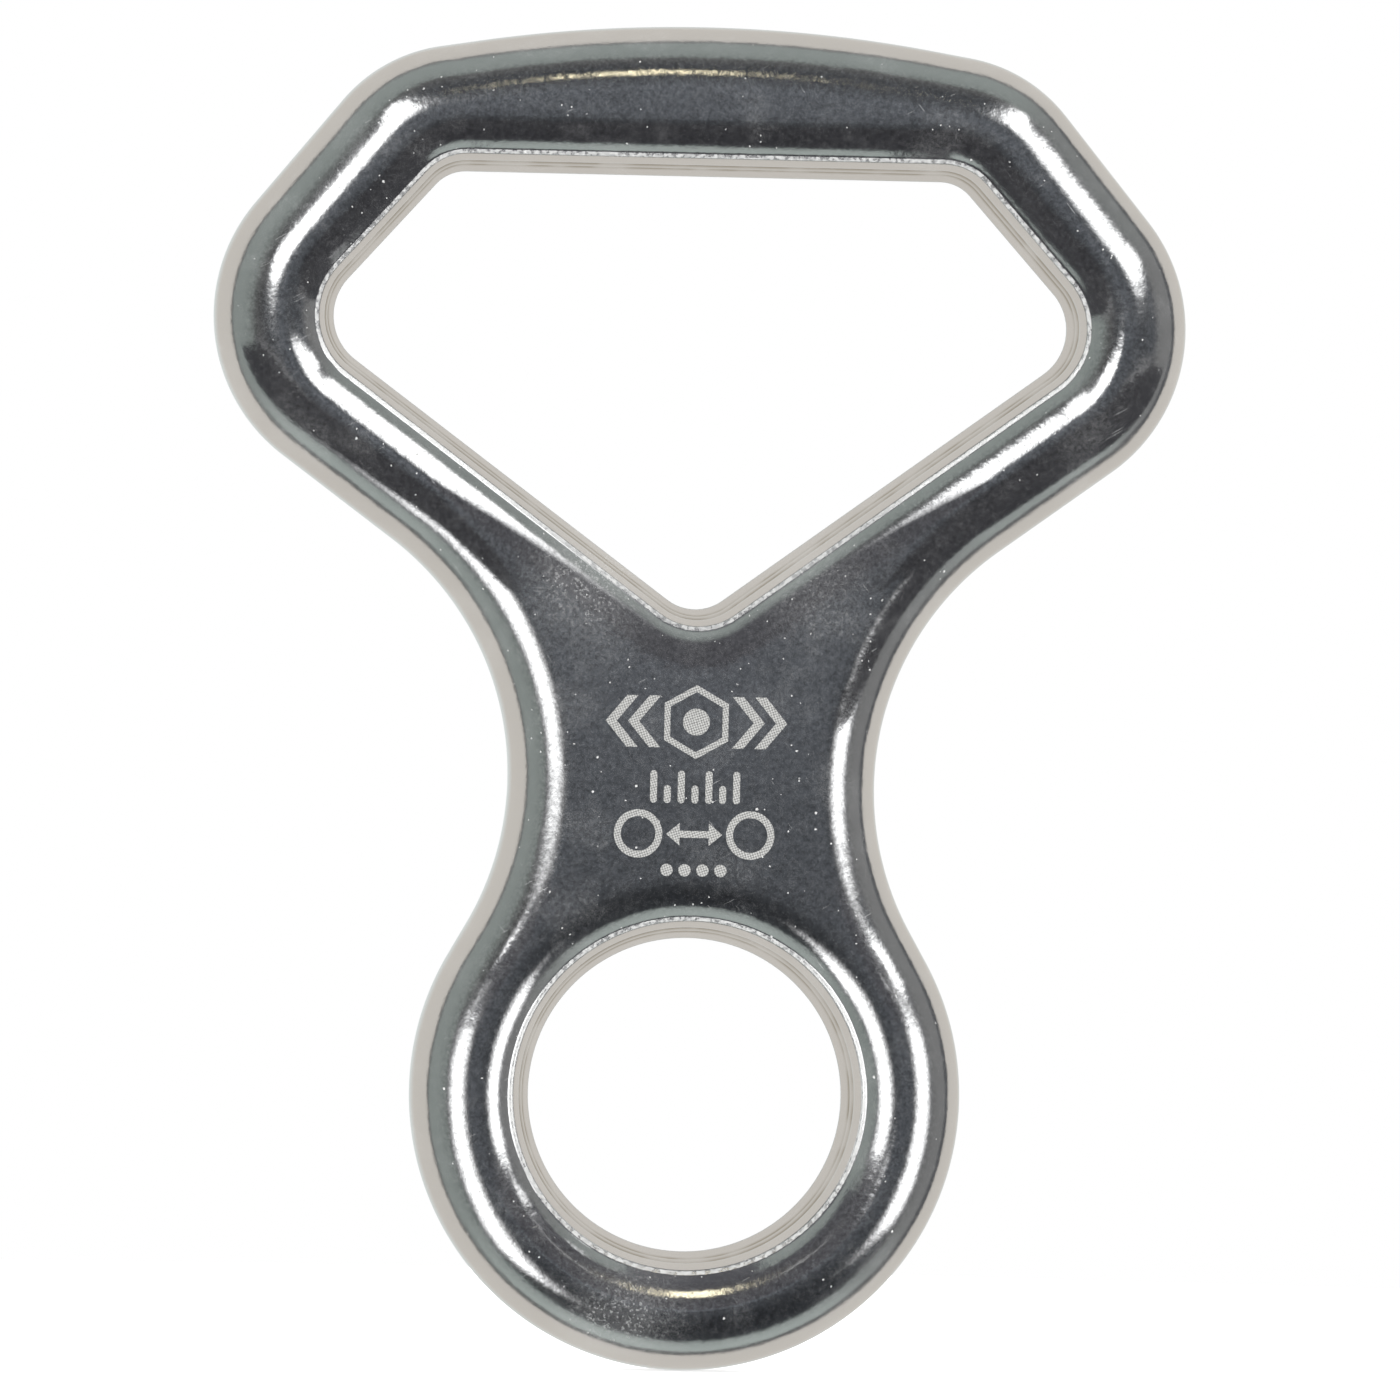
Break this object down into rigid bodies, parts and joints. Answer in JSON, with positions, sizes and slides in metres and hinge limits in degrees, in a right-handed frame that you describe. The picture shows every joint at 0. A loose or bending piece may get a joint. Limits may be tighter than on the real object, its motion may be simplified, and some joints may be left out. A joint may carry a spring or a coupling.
{
  "type": "figure-eight belay device",
  "caption": "Forged figure-eight belay and abseil device with a squared rope opening, a flat web and a small round carabiner eye.",
  "frame": {"origin": "centre of the small carabiner eye, half-way through the thickness", "axes": "+Z from the eye towards the rope opening, along the device's length; +Y through the thickness, out of the plain back face; the marked front face looks along -Y; X across the width"},
  "size_m": [0.087, 0.012, 0.1199],
  "materials": {
    "polished_aluminium": "tumbled and polished bare forging, with fine specks and scratches, and marks etched on the front of the web"
  },
  "bodies": {
    "root": {"forged_body": "polished_aluminium"}
  },
  "joints": []
}
